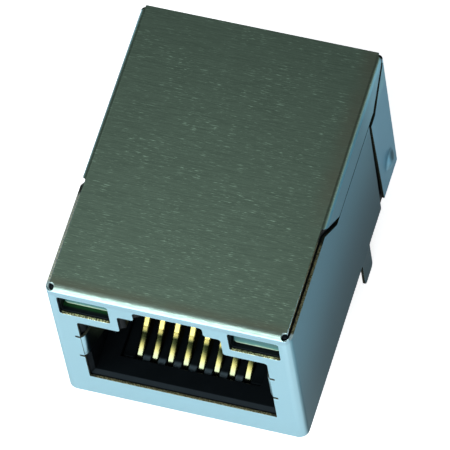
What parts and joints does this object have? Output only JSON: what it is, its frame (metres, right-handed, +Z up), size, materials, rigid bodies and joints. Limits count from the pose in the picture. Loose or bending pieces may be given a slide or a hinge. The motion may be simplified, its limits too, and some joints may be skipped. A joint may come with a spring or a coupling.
{
  "type": "rj45 board jack",
  "caption": "Shielded board-mount jack for a modular network plug, with a folded metal shell, spring contacts, indicator lights and a rear cover.",
  "frame": {"origin": "on the board's top face, midway between the two locating posts", "axes": "+X to the right as the mouth is seen, +Y from the mouth to the rear, +Z up from the board"},
  "size_m": [0.0164, 0.0211, 0.0165],
  "materials": {
    "shield_metal": "brushed and tin plated",
    "housing_plastic": "moulded black",
    "carrier_plastic": "moulded black",
    "contact_gold": "gold plated",
    "tinned_wire": "bright tinned",
    "light_plastic": "tinted and translucent",
    "board_laminate": "green solder mask",
    "ferrite": "dark sintered ceramic",
    "winding_wire": "enamelled copper",
    "capacitor_coat": "tan ceramic",
    "resistor_body": "black film on ceramic"
  },
  "bodies": {
    "root": {"shield_shell": "shield_metal", "rear_shield": "shield_metal", "housing": "housing_plastic", "contact_carrier": "carrier_plastic", "magnetics_case": "carrier_plastic", "contact_1": "contact_gold", "contact_2": "contact_gold", "contact_3": "contact_gold", "contact_4": "contact_gold", "contact_5": "contact_gold", "contact_6": "contact_gold", "contact_7": "contact_gold", "contact_8": "contact_gold", "pin_1": "tinned_wire", "pin_2": "tinned_wire", "pin_3": "tinned_wire", "pin_4": "tinned_wire", "pin_5": "tinned_wire", "pin_6": "tinned_wire", "pin_7": "tinned_wire", "pin_8": "tinned_wire", "led_lead_1": "tinned_wire", "led_lead_2": "tinned_wire", "led_lead_3": "tinned_wire", "led_lead_4": "tinned_wire", "led_left": "light_plastic", "led_right": "light_plastic", "circuit_board": "board_laminate", "ferrite_ring_1": "ferrite", "ferrite_ring_2": "ferrite", "ferrite_ring_3": "ferrite", "ferrite_ring_4": "ferrite", "winding_1": "winding_wire", "winding_2": "winding_wire", "winding_3": "winding_wire", "winding_4": "winding_wire", "line_capacitor": "capacitor_coat", "resistor_1": "resistor_body", "resistor_2": "resistor_body", "resistor_3": "resistor_body", "resistor_4": "resistor_body"}
  },
  "joints": []
}
